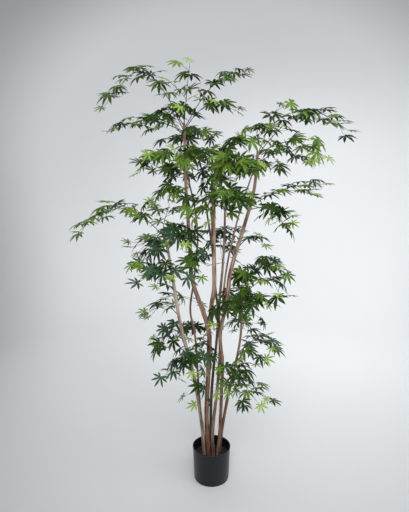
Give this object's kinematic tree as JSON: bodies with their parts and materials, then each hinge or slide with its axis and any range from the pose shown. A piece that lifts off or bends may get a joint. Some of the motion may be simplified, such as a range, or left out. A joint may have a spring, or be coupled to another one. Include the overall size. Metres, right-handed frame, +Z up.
{
  "type": "artificial potted japanese maple",
  "caption": "Tall artificial Japanese maple: bundled natural-wood stems set in a filled nursery pot, carrying a loose crown of palmate-leaved sprays on thin twigs.",
  "frame": {"origin": "centre of the pot's flat underside", "axes": "+Z up along the stems, +X to the right and -Y to the front, as the plant is seen"},
  "size_m": [1.3054, 0.767, 2.108],
  "materials": {
    "pot_plastic": "matte",
    "cement": "rough",
    "bark_tan": "raw",
    "bark_pale": "raw",
    "bark_brown": "raw",
    "bark_dark": "raw",
    "twig_brown": "matte",
    "leaf_green": "satin",
    "leaf_dark": "satin",
    "leaf_light": "satin",
    "leaf_blue": "satin"
  },
  "bodies": {
    "root": {"pot": "pot_plastic", "pot_fill": "cement", "trunk_left": "bark_tan", "trunk_right": "bark_tan", "bough_centre": "bark_tan", "bough_right_back": "bark_brown", "stem_pale_left": "bark_pale", "stem_thin_left": "bark_brown", "stem_middle": "bark_brown", "stem_back": "bark_dark", "stem_right_low": "bark_brown", "foliage_crown_high_arch": "leaf_green", "foliage_crown_left_reach": "leaf_green", "foliage_crown_top": "leaf_green", "foliage_crown_right_high": "leaf_green", "foliage_crown_right": "leaf_green", "foliage_crown_head": "leaf_green", "foliage_crown_left": "leaf_green", "foliage_crown_left_low": "leaf_green", "foliage_crown_front": "leaf_green", "foliage_crown_front_left": "leaf_green", "foliage_crown_low_front": "leaf_green", "foliage_crown_back": "leaf_green", "foliage_low_front": "leaf_green", "foliage_low_front_left": "leaf_green", "foliage_centre_right": "leaf_green", "foliage_centre_right_front": "leaf_green", "foliage_centre_left_front": "leaf_green", "foliage_centre_front": "leaf_green", "foliage_back_right": "leaf_green", "foliage_inner_right": "leaf_green", "foliage_back_centre": "leaf_green", "foliage_right_up": "leaf_green", "foliage_right_arch": "leaf_green", "foliage_right_low": "leaf_green", "foliage_right_back": "leaf_green", "foliage_right_reach": "leaf_green", "foliage_right_droop": "leaf_green", "foliage_right_inner": "leaf_green", "foliage_middle_front": "leaf_green", "foliage_low_right": "leaf_green", "foliage_low_right_out": "leaf_green", "foliage_low_right_front": "leaf_green", "foliage_low_right_left": "leaf_green", "foliage_low_right_reach": "leaf_green", "foliage_low_right_mid": "leaf_green", "foliage_low_right_droop": "leaf_green", "foliage_low_right_inner": "leaf_green", "foliage_low_right_back": "leaf_green", "foliage_left_arch": "leaf_green", "foliage_left_up": "leaf_green", "foliage_left_out": "leaf_green", "foliage_left_front": "leaf_green", "foliage_left_inner": "leaf_green", "foliage_low_left_reach": "leaf_green", "foliage_low_left_mid": "leaf_green", "foliage_low_left_droop": "leaf_green", "foliage_left_back": "leaf_green", "foliage_back_left_top": "leaf_green", "foliage_back_left_low": "leaf_green"}
  },
  "joints": []
}
